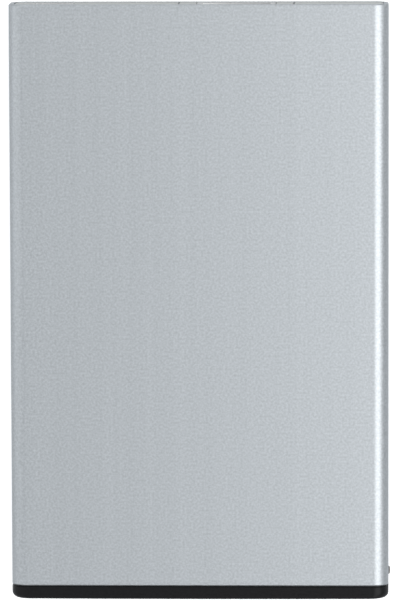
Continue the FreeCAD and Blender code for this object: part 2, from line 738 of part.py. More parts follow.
def make_tapes():
    """Tape under the tray, tape under the cell, foam over it, and film over the main board."""
    flat_x = f"({TRAY_X} - corner_radius)"
    base = box("tray_pad", (f"-{flat_x}", flat_x), (CELL_LOW, CELL_HIGH), ("wall", TRAY_BASE))
    node(base, "tray_tape")
    inset = "(2 * cell_edge)"
    cell_x = (f"{CELL_LEFT} + {inset}", f"{CELL_RIGHT} - {inset}")
    cell_y = (f"{CELL_LOW} + {inset}", f"{CELL_HIGH} - {inset}")
    node(box("cell_pad", cell_x, cell_y, (FLOOR, CELL_BASE)), "cell_tape")
    node(box("roof_pad", cell_x, cell_y, (CELL_TOP, ROOF)), "foam_pad")
    film = box(
        "roof_film",
        (f"-{BOARD_X} + corner_radius", f"{BOARD_X} - corner_radius"),
        (BOARD_LOW, f"{BOARD_HIGH} - board_gap"),
        (f"{ROOF} - tape_thick", ROOF),
    )
    node(film, "insulation_film")


def make_cell():
    """Pouch cell with its sealed terrace, two tabs, and the protection board on the terrace."""
    block = box("cell_block", (CELL_LEFT, CELL_RIGHT), (CELL_LOW, CELL_HIGH), (CELL_BASE, CELL_TOP))
    pouch = eased("cell_pouch", "Fillet", block, "cell_edge", lambda edge: True)
    terrace = box(
        "cell_terrace",
        (f"{CELL_LEFT} + 3 * cell_edge", f"{CELL_RIGHT} - 3 * cell_edge"),
        (f"{CELL_HIGH} - cell_edge", TERRACE_HIGH),
        (TERRACE_BASE, TERRACE_TOP),
    )
    tabs = []
    slots = []
    height = (CONTACT_Z, f"{CONTACT_Z} + tab_thick")
    for side, word in (("-", "positive"), ("+", "negative")):
        span = about(f"({CELL_MID} {side} tab_spread)", "tab_width")
        reach = (f"{CELL_HIGH} + terrace_length / 3", f"{BOARD_LOW} + tab_overlap")
        tabs.append(box(f"tab_{word}", span, reach, height))
        slots.append(box(f"tab_slot_{word}", span, (reach[0], RIM), height))
    node(minus("cell", joined("cell_solid", pouch, terrace), *slots), "battery_cell")
    node(group("cell_tab_pair", *tabs), "cell_tabs")

    board_z = (TERRACE_TOP, f"{TERRACE_TOP} + guard_thick")
    board_y = (f"{CELL_HIGH} + cell_gap", f"{TERRACE_HIGH} - cell_gap")
    board = box("guard", about(CELL_MID, "guard_width"), board_y, board_z)
    node(board, "protection_board")
    chips = []
    chip_y = about(f"({CELL_HIGH} + terrace_length / 2)", "(terrace_length / 2)")
    chip_z = (board_z[1], f"{board_z[1]} + terrace_thick")
    for n in range(3):
        span = about(f"({CELL_MID} + ({n} - 1) * guard_pitch)", "guard_chip")
        chips.append(box(f"guard_chip_{n}", span, chip_y, chip_z))
    node(group("guard_chips", *chips), "protection_chips")
    tape_z = (f"{chip_z[1]}", f"{chip_z[1]} + tape_thick")
    node(box("tape", about(CELL_MID, "guard_tape"), board_y, tape_z), "polyimide_tape")


def make_main_board():
    """Main board, notched for both sockets and drilled for its two screws."""
    blank = box("board_blank", (f"-{BOARD_X}", BOARD_X), (BOARD_LOW, BOARD_HIGH), (BOARD_UNDER, CONTACT_Z))
    cuts = []
    for name, middle, width, back in (
        ("usb", "usb_offset", "usb_width", USB_BACK),
        ("micro", MICRO_X, "micro_width", MICRO_BACK),
    ):
        span = about(middle, f"({width} + 2 * mouth_gap)")
        notch_y = (f"{back} - mouth_gap", RIM)
        cuts.append(box(f"board_notch_{name}", span, notch_y, ("0", "case_height")))
    screws = []
    for word, x in (("left", "-post_left"), ("right", "post_right")):
        hole = "board_screw_radius + screw_gap"
        cuts.append(rod(f"board_hole_{word}", hole, "case_height", (x, POST_Y, "0")))
        head = rod(f"board_head_{word}", "board_head_radius", "board_head_height", (x, POST_Y, CONTACT_Z))
        foot = f"{CONTACT_Z} - board_screw_length"
        shank = rod(f"board_shank_{word}", "board_screw_radius", "board_screw_length", (x, POST_Y, foot))
        top = f"{CONTACT_Z} + board_head_height - socket_depth"
        socket = rod(f"board_socket_{word}", "socket_radius", "2 * socket_depth", (x, POST_Y, top))
        screws.append(minus(f"board_screw_{word}", joined(f"board_screw_solid_{word}", head, shank), socket))
    node(minus("board", blank, *cuts), "main_board")
    node(group("board_screw_pair", *screws), "board_screws")


def on_board(name, x, back, wide, deep, high):
    """A component on the main board, its middle that far above the board's lower edge."""
    y = f"({BOARD_LOW} + {back})"
    return box(name, about(x, wide), about(y, deep), (CONTACT_Z, f"{CONTACT_Z} + {high}"))


def run(name, count, x, pitch, back, sides):
    """Like components in a row on the main board: each is sides long, wide and high."""
    made = []
    for n in range(count):
        place = f"({x} + {n} * {pitch})"
        made.append(on_board(f"{name}_{n}", place, back, *sides))
    return made


def make_components():
    """Power parts, chips and passives on the main board."""
    core = on_board("coil_block", "(-coil_place)", "row_back", "coil_side", "coil_side", "coil_high")
    node(eased("coil", "Chamfer", core, "coil_corner", along("z")), "power_inductor")
    square = ("charger_side", "charger_side", "charger_high")
    node(on_board("charger", "(-charger_place)", "row_back", *square), "charge_chip")
    square = ("transistor_side", "transistor_side", "charger_high")
    pair = run("transistor", 2, "transistor_place", "transistor_pitch", "row_back", square)
    node(group("transistors", *pair), "power_transistors")
    cans = run("can", 2, "can_place", "can_pitch", "row_front", ("can_length", "can_width", "can_high"))
    node(group("cans", *cans), "polymer_capacitors")
    bead = ("bead_length", "bead_width", "bead_width")
    beads = run("bead", 5, "(-bead_place)", "bead_pitch", "row_front", bead)
    beads += run("end_bead", 3, "(-bead_place - 3 * bead_pitch)", "(-bead_pitch)", "row_front", bead)
    node(group("ceramics", *beads), "chip_capacitors")
    grain = ("grain_width", "grain_length", "grain_high")
    grains = run("resistor", 6, "(-bead_place - 3 * bead_pitch)", "(-grain_pitch)", "row_middle", grain)
    grains += run("end_resistor", 6, "transistor_place", "grain_pitch", "row_last", grain)
    node(group("resistors", *grains), "chip_resistors")


# ---- the gauge board, its switch and the button


def make_gauge():
    """Upright board behind the right-hand wall, with four lights and the guide that shows them."""
    board = box("gauge", (GAUGE_IN, GAUGE_OUT), (GAUGE_LOW, GAUGE_HIGH), about(MID, "gauge_height"))
    node(board, "gauge_board")
    lights = []
    pins = []
    guide_y = (f"{LIGHT_Y} - light_pitch / 2", f"{LIGHT_END} + light_pitch / 2")
    bar = box("guide_bar", (GUIDE_X, f"{GUIDE_X} + guide_thick"), guide_y, about(MID, "guide_height"))
    for n in range(int(value("light_count"))):
        y = f"({LIGHT_Y} + {n} * light_pitch)"
        package = (GAUGE_OUT, f"{GAUGE_OUT} + led_thick")
        lights.append(box(f"light_{n}", package, about(y, "led_size"), about(MID, "led_size")))
        pins.append(rod(f"pin_{n}", "pin_radius", f"{SIDE} - pin_inset - {GUIDE_X}", (GUIDE_X, y, MID), "x"))
    node(group("lights", *lights), "charge_leds")
    node(joined("guide", bar, *pins), "light_guide")


def make_switch():
    """Side-push switch: moulded body, steel cover, snap dome and plunger."""
    wide = about(BUTTON_Y, "switch_size")
    tall = about(MID, "switch_size")
    block = box("switch_block", (GAUGE_OUT, f"{SWITCH_FACE} - cover_thick"), wide, tall)
    bore_x = f"{PLUNGER_END} - plunger_length - button_travel - plunger_gap"
    bore = rod("switch_bore", "plunger_radius + plunger_gap", "case_height", (bore_x, BUTTON_Y, MID), "x")
    seat_x = f"{bore_x} - dome_thick"
    seat = rod("dome_seat", "plunger_radius + plunger_gap", "dome_thick", (seat_x, BUTTON_Y, MID), "x")
    node(minus("switch", block, bore, seat), "switch_body")
    plate = box("cover_plate", (f"{SWITCH_FACE} - cover_thick", SWITCH_FACE), wide, tall)
    hole = rod("cover_hole", "plunger_radius + plunger_gap", "case_height", (GAUGE_OUT, BUTTON_Y, MID), "x")
    node(minus("cover", plate, hole), "switch_cover")
    dome = rod("dome", "plunger_radius + plunger_gap", "dome_thick", (seat_x, BUTTON_Y, MID), "x")
    node(dome, "switch_dome")
    start = f"{PLUNGER_END} - plunger_length"
    node(rod("plunger", "plunger_radius", "plunger_length", (start, BUTTON_Y, MID), "x"), "switch_plunger")


def make_button():
    """Round button turned about the X axis: stem, retaining flange, shaft and an eased face."""
    body = doc.addObject("PartDesign::Body", "button")
    face = f"({SIDE} + button_proud)"
    half = sketch(body, "button_half", "XZ_Plane", f"-{BUTTON_Y}")
    outline(
        half,
        [
            (PLUNGER_END, MID),
            (face, MID),
            (face, f"{MID} + button_radius - button_edge"),
            (f"{face} - button_edge", f"{MID} + button_radius"),
            (f"{FLANGE_X} + flange_thick", f"{MID} + button_radius"),
            (f"{FLANGE_X} + flange_thick", f"{MID} + flange_radius"),
            (FLANGE_X, f"{MID} + flange_radius"),
            (FLANGE_X, f"{MID} + plunger_radius"),
            (PLUNGER_END, f"{MID} + plunger_radius"),
        ],
    )
    turned = body.newObject("PartDesign::Revolution", "button_turned")
    turned.Profile = half
    turned.ReferenceAxis = (half, ["Edge1"])
    turned.Angle = 360.0
    doc.recompute()
    node(body, "power_button")


def make_gauge_leads():
    """Four insulated wires from the gauge board's inner face to the main board, each with one bend."""
    radius, bend = value("wire_radius"), value("wire_bend")
    height = value(f"{CONTACT_Z} + wire_radius")
    pitch = value("wire_pitch")
    far = value(f"{BOARD_LOW} + wire_overlap")
    wires = []
    for n in range(4):
        x = value(GAUGE_IN) - bend - (4 - n) * pitch
        y = value(f"{GAUGE_HIGH} - light_pitch") - (4 - n) * pitch
        start = FreeCAD.Vector(value(GAUGE_IN), y, height)
        corner = FreeCAD.Vector(x, y, height)
        enter = corner + FreeCAD.Vector(bend, 0, 0)
        leave = corner + FreeCAD.Vector(0, bend, 0)
        middle = corner + FreeCAD.Vector(bend, bend, 0) * (1 - math.sqrt(0.5))
        end = FreeCAD.Vector(x, far, height)
        runs = [Part.LineSegment(start, enter), Part.Arc(enter, middle, leave), Part.LineSegment(leave, end)]
        path = Part.Wire([run.toShape() for run in runs])
        ring = Part.Wire(Part.Circle(start, FreeCAD.Vector(1, 0, 0), radius).toShape())
        wires.append(path.makePipeShell([ring], True, False))
    leads = doc.addObject("Part::Feature", "leads")
    leads.Shape = Part.makeCompound(wires)
    node(leads, "gauge_leads")


def save():
    """Checks every object and every sub-part, then writes the sub-parts."""
    doc.recompute()
    broken = [o.Name for o in doc.Objects if {"Invalid", "Error"} & set(o.State)]
    if broken:
        raise RuntimeError("failed objects: " + ", ".join(broken))
    for part in nodes:
        if part.Shape.isNull() or not part.Shape.isValid() or not part.Shape.Solids:
            raise RuntimeError(f"{part.Label} has no valid solid")
    os.makedirs("parts", exist_ok=True)
    for part in nodes:
        part.Shape.exportStep(f"parts/{part.Label}.step")


fill_sheet()
make_sleeve()
make_end_cap()
make_cap_screws()
make_fascia()
make_surround()
make_usb_a()
make_micro_usb()
make_tray()
make_tapes()
make_cell()
make_main_board()
make_components()
make_gauge()
make_switch()
make_button()
make_gauge_leads()
save()
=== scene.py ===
"""A slim power bank: bead-blasted aluminium sleeve, black end cap, port fascia and side button.

The finished pieces are built round the frame's nodes, in metres: +X to the bank's right, +Y towards
its ports, +Z out of its front face. The file is laid out as an add-on and is run as a script."""

import math

import bmesh
import bpy
from bpy.props import FloatProperty, FloatVectorProperty, IntProperty, PointerProperty
from mathutils import Euler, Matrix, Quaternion, Vector


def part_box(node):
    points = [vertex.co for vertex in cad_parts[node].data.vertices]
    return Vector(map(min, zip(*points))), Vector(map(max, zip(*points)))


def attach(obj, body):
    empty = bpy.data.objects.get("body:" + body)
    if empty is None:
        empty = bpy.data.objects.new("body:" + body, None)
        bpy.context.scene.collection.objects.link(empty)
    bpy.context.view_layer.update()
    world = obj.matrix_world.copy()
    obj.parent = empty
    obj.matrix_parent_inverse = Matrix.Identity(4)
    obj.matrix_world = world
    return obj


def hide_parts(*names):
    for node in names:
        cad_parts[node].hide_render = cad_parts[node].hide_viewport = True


bl_info = {
    "name": "Power bank",
    "version": (1, 0, 0),
    "blender": (4, 5, 0),
    "location": "3D View > Sidebar > Power bank",
    "description": "Builds the finished pieces of a slim power bank round its frame",
    "category": "Add Mesh",
}

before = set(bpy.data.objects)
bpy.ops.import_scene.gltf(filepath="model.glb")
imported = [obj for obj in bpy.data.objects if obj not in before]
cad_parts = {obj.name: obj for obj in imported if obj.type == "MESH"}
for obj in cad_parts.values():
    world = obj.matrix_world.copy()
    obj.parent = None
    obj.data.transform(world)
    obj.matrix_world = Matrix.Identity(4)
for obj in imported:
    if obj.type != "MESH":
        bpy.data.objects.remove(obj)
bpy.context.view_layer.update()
MM = 0.001


def corners(node):
    """The low and high corners of a node's box."""
    return [Vector(corner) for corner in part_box(node)]


SLEEVE_LOW, SLEEVE_HIGH = corners("aluminium_sleeve")
CAP_LOW, CAP_HIGH = corners("end_cap")
BUTTON_LOW, BUTTON_HIGH = corners("power_button")
HALF_X = SLEEVE_HIGH.x
HALF_Z = (SLEEVE_HIGH.z - SLEEVE_LOW.z) / 2
MID_Z = (SLEEVE_HIGH.z + SLEEVE_LOW.z) / 2
BUTTON_Y = (BUTTON_LOW.y + BUTTON_HIGH.y) / 2
HEAD_DEPTH = 0.9 * MM  # depth of a cap screw's countersunk head

# Angles in degrees: flatter joints between faces are merged, shaded smooth or left unrounded.
FLAT_ANGLE = 1
CRISP_ANGLE = 28
SMOOTH_ANGLE = 32
ROUND_ANGLE = 38
EDGE_ANGLE = 40
TIP = 0.02 * MM  # radius of the small flat that closes a turned piece


def linear(code):
    """Linear red, green and blue of an sRGB hex colour."""
    parts = [int(code[n : n + 2], 16) / 255 for n in (0, 2, 4)]
    return tuple(v / 12.92 if v <= 0.04045 else ((v + 0.055) / 1.055) ** 2.4 for v in parts)


# ---- settings


def length(name, description, millimetres):
    look = {"default": millimetres * MM, "unit": "LENGTH", "precision": 6}
    return FloatProperty(name=name, description=description, **look)


def colour(name, description, code):
    look = {"subtype": "COLOR", "size": 3, "min": 0, "max": 1}
    return FloatVectorProperty(name=name, description=description, default=linear(code), **look)


def amount(name, description, value, unit="NONE"):
    return FloatProperty(name=name, description=description, default=value, unit=unit, min=0)


def power(name, description, watts):
    return amount(name, description, watts, "POWER")


class CaseSettings(bpy.types.PropertyGroup):
    corner: length("Corner radius", "Outer radius of the sleeve's long edges", 2.75)
    wall: length("Wall", "Wall of the sleeve", 0.9)
    bevel: length("Rim bevel", "Diamond-cut bevel round both rims of the sleeve", 0.2)
    inner_bevel: length("Inner bevel", "Bevel on the inner edge of each rim", 0.08)
    cap_corner: length("Cap corner", "Radius of the cap's corners, seen from the front", 1.1)
    cap_edge: length("Cap edge", "Radius round the cap's end", 0.3)
    cap_crown: length("Cap crown", "How far the cap's end bulges at its middle", 0.08)
    joint: length("Joint", "Width and depth of the groove between the sleeve and the cap", 0.28)
    skirt_gap: length("Skirt gap", "Clearance between the cap's skirt and the sleeve", 0.1)
    hole_radius: length("Button hole", "Radius of the button's hole in the sleeve", 0.83)
    pin_hole: length("Light hole", "Radius of a light's hole in the sleeve", 0.51)
    pin_pitch: length("Light spacing", "Spacing of the charge lights", 3.0)
    pin_count: IntProperty(name="Lights", description="Number of charge lights", default=4, min=1)
    arc_steps: IntProperty(name="Arc steps", description="Facets of a corner", default=24, min=4)


class FinishSettings(bpy.types.PropertyGroup):
    aluminium: colour("Aluminium", "Clear anodised, bead-blasted aluminium", "B4B8BB")
    cap: colour("Cap", "Black moulded plastic", "111112")
    fascia: colour("Fascia", "Satin grey plastic", "9B9D9B")
    button: colour("Button", "Dark grey painted plastic", "45403D")
    grain: length("Blast grain", "Spacing of the dimples, coarser than the real 0.1 mm", 0.2)
    grain_contrast: amount("Grain contrast", "Lightness change from dimple to dimple", 0.14)


class StudioSettings(bpy.types.PropertyGroup):
    room: colour("Room", "Even light from all round", "D9DCDF")
    floor: colour("Floor", "Plain pale floor", "F4F4F4")
    room_strength: amount("Room strength", "Brightness of the room", 0.82)
    low_strength: amount("Low strength", "Brightness of the room below the horizon", 1.12)
    floor_glow: amount("Floor glow", "Light that comes up through the floor", 0.4)
    right_power: power("Right softbox", "Large softbox on the right, close overhead", 1.8)
    upper_power: power("Upper softbox", "Softbox between the right one and the bank", 1.42)
    left_power: power("Left softbox", "Weak softbox on the left", 0.65)
    far_power: power("Far softbox", "Softbox beyond the port end, low over the floor", 5.0)
    near_power: power("Near softbox", "Softbox beyond the cap's end, low over the floor", 9.5)


# ---- mesh helpers


def piece_from(name, vertices, faces):
    """A new object from points and faces, linked to the scene."""
    mesh = bpy.data.meshes.new(name)
    mesh.from_pydata([tuple(v) for v in vertices], [], faces)
    piece = bpy.data.objects.new(name, mesh)
    bpy.context.scene.collection.objects.link(piece)
    return piece


def tidy(piece, angle=SMOOTH_ANGLE):
    """Merges doubles, turns the faces outwards and keeps only real corners sharp."""
    work = bmesh.new()
    work.from_mesh(piece.data)
    bmesh.ops.remove_doubles(work, verts=work.verts, dist=1e-7)
    bmesh.ops.recalc_face_normals(work, faces=work.faces)
    work.to_mesh(piece.data)
    work.free()
    piece.data.shade_smooth()
    piece.data.set_sharp_from_angle(angle=math.radians(angle))
    return piece


def settle(piece):
    """Turns a piece and its modifiers into one plain mesh."""
    evaluated = piece.evaluated_get(bpy.context.evaluated_depsgraph_get())
    mesh = bpy.data.meshes.new_from_object(evaluated)
    piece.modifiers.clear()
    old = piece.data
    piece.data = mesh
    mesh.name = piece.name
    bpy.data.meshes.remove(old)
    return piece


def cut(piece, *cutters):
    """Cuts closed shapes out of a piece and removes them."""
    for cutter in cutters:
        modifier = piece.modifiers.new("cut", "BOOLEAN")
        modifier.operation = "DIFFERENCE"
        modifier.solver = "EXACT"
        modifier.object = cutter
    settle(piece)
    for cutter in cutters:
        bpy.data.objects.remove(cutter)


def round_edges(piece, width, segments=2):
    """Rounds a piece's edges and makes it one plain mesh."""
    edge = piece.modifiers.new("edges", "BEVEL")
    edge.width = width
    edge.segments = segments
    edge.limit_method = "ANGLE"
    edge.angle_limit = math.radians(EDGE_ANGLE)
    edge.use_clamp_overlap = True
    return settle(piece)


def loft(rings, closed=False):
    """Vertices and quads through rings of equally many points."""
    count = len(rings[0])
    vertices = [point for ring in rings for point in ring]
    faces = []
    last = len(rings) if closed else len(rings) - 1
    for n in range(last):
        a, b = n * count, (n + 1) % len(rings) * count
        faces += [(a + k, a + (k + 1) % count, b + (k + 1) % count, b + k) for k in range(count)]
    return vertices, faces


def ladder(start, count):
    """Faces that close a ring of count points by rungs from its upper half to its lower half."""
    last = start + count - 1
    return [(start + k, start + k + 1, last - 1 - k, last - k) for k in range(count // 2 - 1)]


def section(half_x, half_z, radius, steps, y):
    """Rounded rectangle at a height y: over the top from left to right, then back underneath.
    A point beside each arc keeps the flats' shading flat."""
    keep = 0.06 * MM
    bays = 6
    upper = [(-half_x, 0.0), (-half_x, max(half_z - radius - keep, 0) / 2)]
    upper.append((-half_x, half_z - radius - keep))
    for n in range(steps + 1):
        turn = math.pi / 2 * n / steps
        along, up = radius * (1 - math.cos(turn)), radius * (1 - math.sin(turn))
        upper.append((along - half_x, half_z - up))
    upper.append((-half_x + radius + keep, half_z))
    flat = half_x - radius - keep
    left = upper + [(-flat * (1 - n / bays), half_z) for n in range(1, bays)]
    whole = left + [(0.0, half_z)] + [(-x, z) for x, z in reversed(left)]
    under = [(x, -z) for x, z in reversed(whole[1:-1])]
    return [Vector((x, y, MID_Z + z)) for x, z in whole + under]


def lathe(name, profile, origin, axis, steps=40):
    """Turns (distance along axis, radius) points round an axis; the ends are closed."""
    facing = Vector(axis).to_track_quat("Z", "Y")
    rings = []
    for along, radius in profile:
        ring = []
        for n in range(steps):
            turn = 2 * math.pi * n / steps
            spot = Vector((radius * math.cos(turn), radius * math.sin(turn), along))
            ring.append(Vector(origin) + facing @ spot)
        rings.append(ring)
    vertices, faces = loft(rings)
    faces.append(tuple(range(steps))[::-1])
    faces.append(tuple(range(len(vertices) - steps, len(vertices))))
    return tidy(piece_from(name, vertices, faces))


def block(name, low, high):
    """A closed box between two corners."""
    (x0, y0, z0), (x1, y1, z1) = low, high
    spots = [(x, y, z) for x in (x0, x1) for y in (y0, y1) for z in (z0, z1)]
    faces = [(0, 1, 3, 2), (4, 6, 7, 5), (0, 4, 5, 1), (2, 3, 7, 6), (0, 2, 6, 4), (1, 5, 7, 3)]
    return piece_from(name, spots, faces)


def refined(name, node, width, segments=2):
    """A finished copy of a node: triangles joined into flats, and its edges rounded."""
    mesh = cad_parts[node].data.copy()
    mesh.materials.clear()
    piece = bpy.data.objects.new(name, mesh)
    bpy.context.scene.collection.objects.link(piece)
    work = bmesh.new()
    work.from_mesh(mesh)
    bmesh.ops.remove_doubles(work, verts=work.verts, dist=1e-6)
    limit = math.radians(FLAT_ANGLE)
    bmesh.ops.dissolve_limit(work, angle_limit=limit, verts=work.verts, edges=work.edges)
    work.to_mesh(mesh)
    work.free()
    return tidy(round_edges(piece, width, segments), ROUND_ANGLE)


def finish_piece(piece, body, material, *nodes):
    """Gives a piece its material, its body and the nodes it stands for."""
    piece.data.materials.clear()
    piece.data.materials.append(material)
    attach(piece, body)
    if nodes:
        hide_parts(*nodes)


# ---- what repeats


def row_tree():
    """Geometry Nodes: copies of one shape in a straight row, made real, with a material."""
    tree = bpy.data.node_groups.get("row of pieces")
    if tree:
        return tree
    tree = bpy.data.node_groups.new("row of pieces", "GeometryNodeTree")
    face = tree.interface
    for label, kind in (
        ("Shape", "NodeSocketObject"),
        ("Count", "NodeSocketInt"),
        ("First", "NodeSocketVector"),
        ("Step", "NodeSocketVector"),
        ("Finish", "NodeSocketMaterial"),
    ):
        face.new_socket(label, in_out="INPUT", socket_type=kind)
    face.new_socket("Geometry", in_out="OUTPUT", socket_type="NodeSocketGeometry")
    given = add_node(tree, "NodeGroupInput")
    line = add_node(tree, "GeometryNodeMeshLine", mode="OFFSET")
    shape = add_node(tree, "GeometryNodeObjectInfo", transform_space="ORIGINAL")
    place = add_node(tree, "GeometryNodeInstanceOnPoints")
    real = add_node(tree, "GeometryNodeRealizeInstances")
    paint = add_node(tree, "GeometryNodeSetMaterial")
    result = add_node(tree, "NodeGroupOutput")
    for start, end in (
        (given.outputs["Count"], line.inputs["Count"]),
        (given.outputs["First"], line.inputs["Start Location"]),
        (given.outputs["Step"], line.inputs["Offset"]),
        (given.outputs["Shape"], shape.inputs["Object"]),
        (line.outputs["Mesh"], place.inputs["Points"]),
        (shape.outputs["Geometry"], place.inputs["Instance"]),
        (place.outputs["Instances"], real.inputs["Geometry"]),
        (real.outputs["Geometry"], paint.inputs["Geometry"]),
        (given.outputs["Finish"], paint.inputs["Material"]),
        (paint.outputs["Geometry"], result.inputs["Geometry"]),
    ):
        tree.links.new(start, end)
    return tree


def row(name, shape, count, first, step, material):
    """A plain mesh of count copies of shape; the shape itself is removed."""
    piece = piece_from(name, [(0, 0, 0)], [])
    modifier = piece.modifiers.new("row", "NODES")
    modifier.node_group = row_tree()
    values = {"Shape": shape, "Count": count, "Finish": material}
    values |= {"First": tuple(first), "Step": tuple(step)}
    for socket in modifier.node_group.interface.items_tree:
        if socket.in_out == "INPUT":
            modifier[socket.identifier] = values[socket.name]
    settle(piece)
    bpy.data.objects.remove(shape)
    return tidy(piece, ROUND_ANGLE)


# ---- materials

# Noise values below the first are the darkest tone and above the second the lightest.
NOISE_LOW, NOISE_HIGH = 0.3, 0.7


def add_node(tree, kind, links=None, **settings):
    """Adds a node with its settings; links maps an input to a value or to another node's output."""
    node = tree.nodes.new(kind)
    for key, value in settings.items():
        setattr(node, key, value)
    for key, value in (links or {}).items():
        if isinstance(value, bpy.types.NodeSocket):
            tree.links.new(value, node.inputs[key])
        else:
            node.inputs[key].default_value = value
    return node


def surface(name, tone, roughness, metallic=0.0, **sockets):
    """A material with one Principled shader; returns it with its tree, shader and place vector."""
    material = bpy.data.materials.new(name)
    material.use_nodes = True
    tree = material.node_tree
    shader = tree.nodes["Principled BSDF"]
    shader.inputs["Base Color"].default_value = (*tone, 1)
    shader.inputs["Roughness"].default_value = roughness
    shader.inputs["Metallic"].default_value = metallic
    for key, value in sockets.items():
        shader.inputs[key.replace("_", " ")].default_value = value
    place = add_node(tree, "ShaderNodeTexCoord").outputs["Object"]
    material.diffuse_color = (*tone, 1)
    return material, tree, shader, place


def texture_scale(spacing):
    """The texture scale that puts a pattern's features spacing metres apart."""
    return 0.5 / spacing


def grain(tree, shader, place, spacing, tone, contrast, bump, detail=2.0, stretch=(1, 1, 1)):
    """Mottles a surface's colour and height with noise whose features are spacing metres apart.
    Returns the noise's value and the mottled colour."""
    turned = add_node(tree, "ShaderNodeMapping", {"Vector": place, "Scale": stretch})
    links = {"Vector": turned.outputs["Vector"], "Scale": texture_scale(spacing), "Detail": detail}
    links["Roughness"] = 0.6
    noise = add_node(tree, "ShaderNodeTexNoise", links)
    low = [v * (1 - contrast) for v in tone]
    high = [min(v * (1 + contrast), 1) for v in tone]
    ramp = add_node(tree, "ShaderNodeValToRGB", {"Fac": noise.outputs["Fac"]})
    ramp.color_ramp.elements[0].position = NOISE_LOW
    ramp.color_ramp.elements[0].color = (*low, 1)
    ramp.color_ramp.elements[1].position = NOISE_HIGH
    ramp.color_ramp.elements[1].color = (*high, 1)
    tree.links.new(ramp.outputs["Color"], shader.inputs["Base Color"])
    links = {"Height": noise.outputs["Fac"], "Distance": bump, "Strength": 1.0}
    raised = add_node(tree, "ShaderNodeBump", links)
    tree.links.new(raised.outputs["Normal"], shader.inputs["Normal"])
    return noise.outputs["Fac"], ramp.outputs["Color"]


def anodised_aluminium():
    """Extruded aluminium, bead-blasted and clear anodised: even satin with a fine sparkle of
    dimples, and very faint lines along the extrusion."""
    look = bpy.context.scene.bank_finish
    tone = tuple(look.aluminium)
    material, tree, shader, place = surface("bead-blasted anodised aluminium", tone, 0.44, 1.0)
    dimple = 0.0016 * MM
    noise, mottled = grain(tree, shader, place, look.grain, tone, look.grain_contrast, dimple, 3.0)
    lines = add_node(tree, "ShaderNodeMapping", {"Vector": place, "Scale": (1, 0.012, 1)})
    links = {"Vector": lines.outputs["Vector"], "Scale": texture_scale(1.1 * MM), "Detail": 3.0}
    drawn = add_node(tree, "ShaderNodeTexNoise", links)
    span = {"From Min": NOISE_LOW, "From Max": NOISE_HIGH}
    links = {"Value": drawn.outputs["Fac"], **span, "To Min": 0.985, "To Max": 1.015}
    shade = add_node(tree, "ShaderNodeMapRange", links)
    links = {0: mottled, "Scale": shade.outputs["Result"]}
    scaled = add_node(tree, "ShaderNodeVectorMath", links, operation="SCALE")
    tree.links.new(scaled.outputs["Vector"], shader.inputs["Base Color"])
    links = {"Value": noise, **span, "To Min": 0.41, "To Max": 0.48}
    rough = add_node(tree, "ShaderNodeMapRange", links)
    tree.links.new(rough.outputs["Result"], shader.inputs["Roughness"])
    return material


def black_abs():
    """Injection-moulded black ABS with a fine spark-eroded texture: soft, grey highlights."""
    tone = tuple(bpy.context.scene.bank_finish.cap)
    gloss = {"Specular_IOR_Level": 0.16}
    material, tree, shader, place = surface("black moulded ABS", tone, 0.32, 0.0, **gloss)
    grain(tree, shader, place, 0.22 * MM, tone, 0.25, 0.006 * MM)
    return material


def satin_grey():
    """Grey polycarbonate-ABS, satin moulded: even, slightly mottled."""
    tone = tuple(bpy.context.scene.bank_finish.fascia)
    material, tree, shader, place = surface("satin grey PC-ABS", tone, 0.5, 0.0, IOR=1.55)
    grain(tree, shader, place, 0.2 * MM, tone, 0.05, 0.003 * MM)
    return material


def painted_button():
    """Dark grey paint with a few metal flakes over moulded plastic, under a thin clear coat."""
    tone = tuple(bpy.context.scene.bank_finish.button)
    material, tree, shader, place = surface("painted button", tone, 0.4, 0.2, Coat_Weight=0.15)
    grain(tree, shader, place, 0.12 * MM, tone, 0.12, 0.001 * MM)
    return material


def plated_steel():
    """Matt nickel-plated stamped steel: pale, with faint drawing lines."""
    tone = linear("C6C6C5")
    material, tree, shader, place = surface("nickel-plated steel", tone, 0.38, 1.0)
    grain(tree, shader, place, 0.25 * MM, tone, 0.06, 0.0012 * MM, 2.0, (1, 0.08, 1))
    return material


def gold_flash():
    """Gold-flashed phosphor bronze: warm and bright, a little cloudy."""
    tone = linear("D9B45F")
    material, tree, shader, place = surface("gold-flashed bronze", tone, 0.26, 1.0)
    grain(tree, shader, place, 0.15 * MM, tone, 0.07, 0.0008 * MM)
    return material


def black_screw():
    """Black-oxide carbon steel: dark, faintly blue, satin."""
    tone = linear("2B2B2E")
    material, tree, shader, place = surface("black-oxide steel", tone, 0.36, 1.0)
    grain(tree, shader, place, 0.12 * MM, tone, 0.2, 0.002 * MM)
    return material


def milky_guide():
    """Milky polycarbonate light pins with matt ends, so that they glow evenly."""
    tone = linear("E6E9EA")
    body = {"IOR": 1.58, "Transmission_Weight": 0.15}
    material, tree, shader, place = surface("milky polycarbonate", tone, 0.38, 0.0, **body)
    grain(tree, shader, place, 0.3 * MM, tone, 0.04, 0.001 * MM)
    return material


def cell_pouch():
    """Aluminium laminate pouch: matt silver foil under nylon, pressed with a shallow weave."""
    tone = linear("BFC1C4")
    material, tree, shader, place = surface("aluminium laminate foil", tone, 0.34, 0.9)
    grain(tree, shader, place, 0.8 * MM, tone, 0.08, 0.01 * MM, 4.0)
    return material


